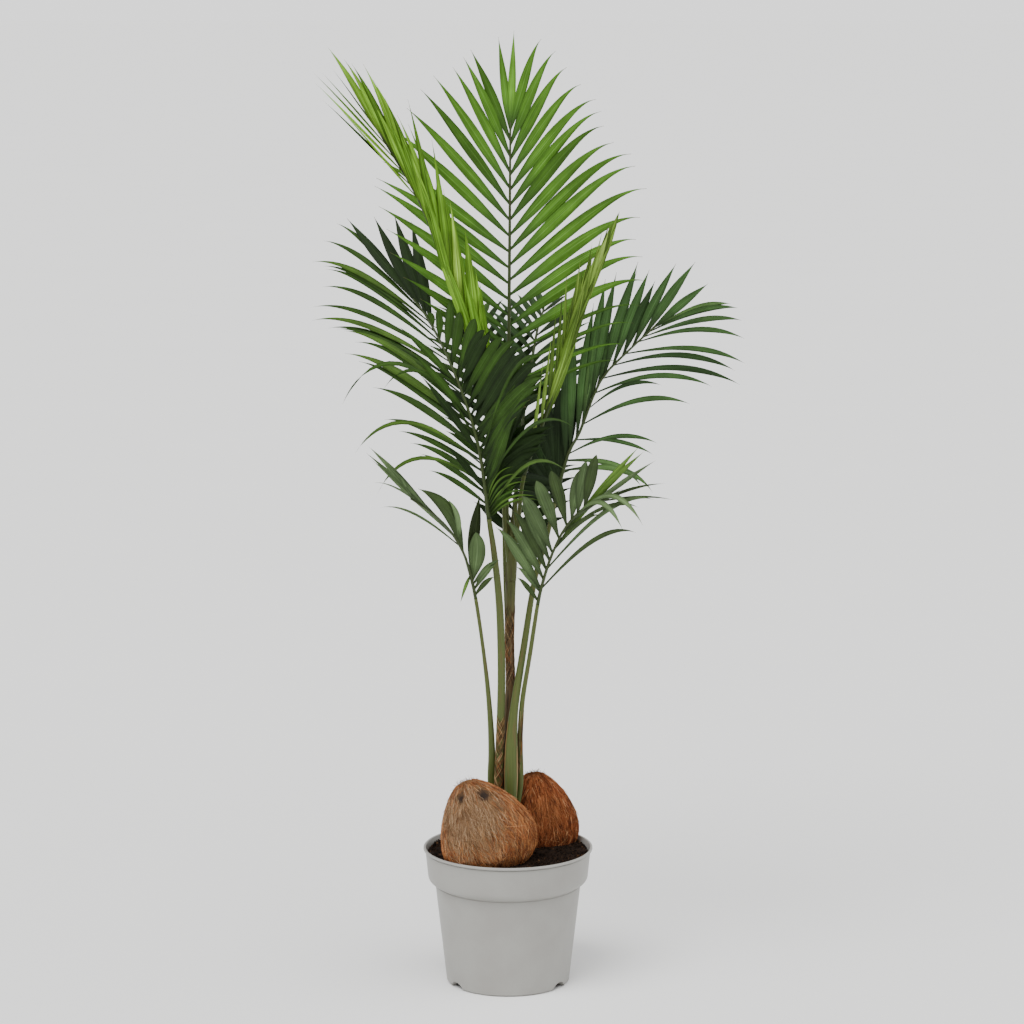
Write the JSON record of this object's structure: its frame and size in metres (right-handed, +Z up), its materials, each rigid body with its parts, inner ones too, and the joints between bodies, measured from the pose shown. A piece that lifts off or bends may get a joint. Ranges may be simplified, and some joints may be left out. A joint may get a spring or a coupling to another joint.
{
  "type": "potted coconut palm",
  "caption": "Young feather-leaved palm with slender upright stalks, set with husked coconuts in a plain grey plastic plant pot.",
  "frame": {"origin": "middle of the pot's flat underside", "axes": "+Z up along the pot's axis and the plant's height, -Y towards the side that the picture shows, +X to that view's right"},
  "size_m": [0.5353, 0.5413, 1.1769],
  "materials": {
    "grey_plastic": "matte",
    "potting_soil": "crumbly",
    "coconut_husk": "fibrous",
    "green_stem": "satin",
    "leaf_mid_green": "satin",
    "leaf_young_green": "satin",
    "leaf_dark_green": "satin",
    "leaf_blue_green": "satin",
    "leaf_grey_green": "satin"
  },
  "bodies": {
    "root": {"pot": "grey_plastic", "soil": "potting_soil", "coconut_front": "coconut_husk", "coconut_back": "coconut_husk", "trunk": "green_stem", "stalk_tall": "green_stem", "stalk_left": "green_stem", "stalk_right": "green_stem", "stalk_spear_left": "green_stem", "stalk_spear_right": "green_stem", "stalk_low_right": "green_stem", "stalk_low_left": "green_stem", "stalk_back_left": "green_stem", "stalk_back_right": "green_stem", "stalk_back_low": "green_stem", "frond_tall": "leaf_mid_green", "frond_left": "leaf_dark_green", "frond_right": "leaf_blue_green", "frond_spear_left": "leaf_young_green", "frond_spear_right": "leaf_young_green", "frond_low_right": "leaf_grey_green", "frond_low_left": "leaf_grey_green", "frond_back_left": "leaf_dark_green", "frond_back_right": "leaf_blue_green", "frond_back_low": "leaf_dark_green"}
  },
  "joints": []
}
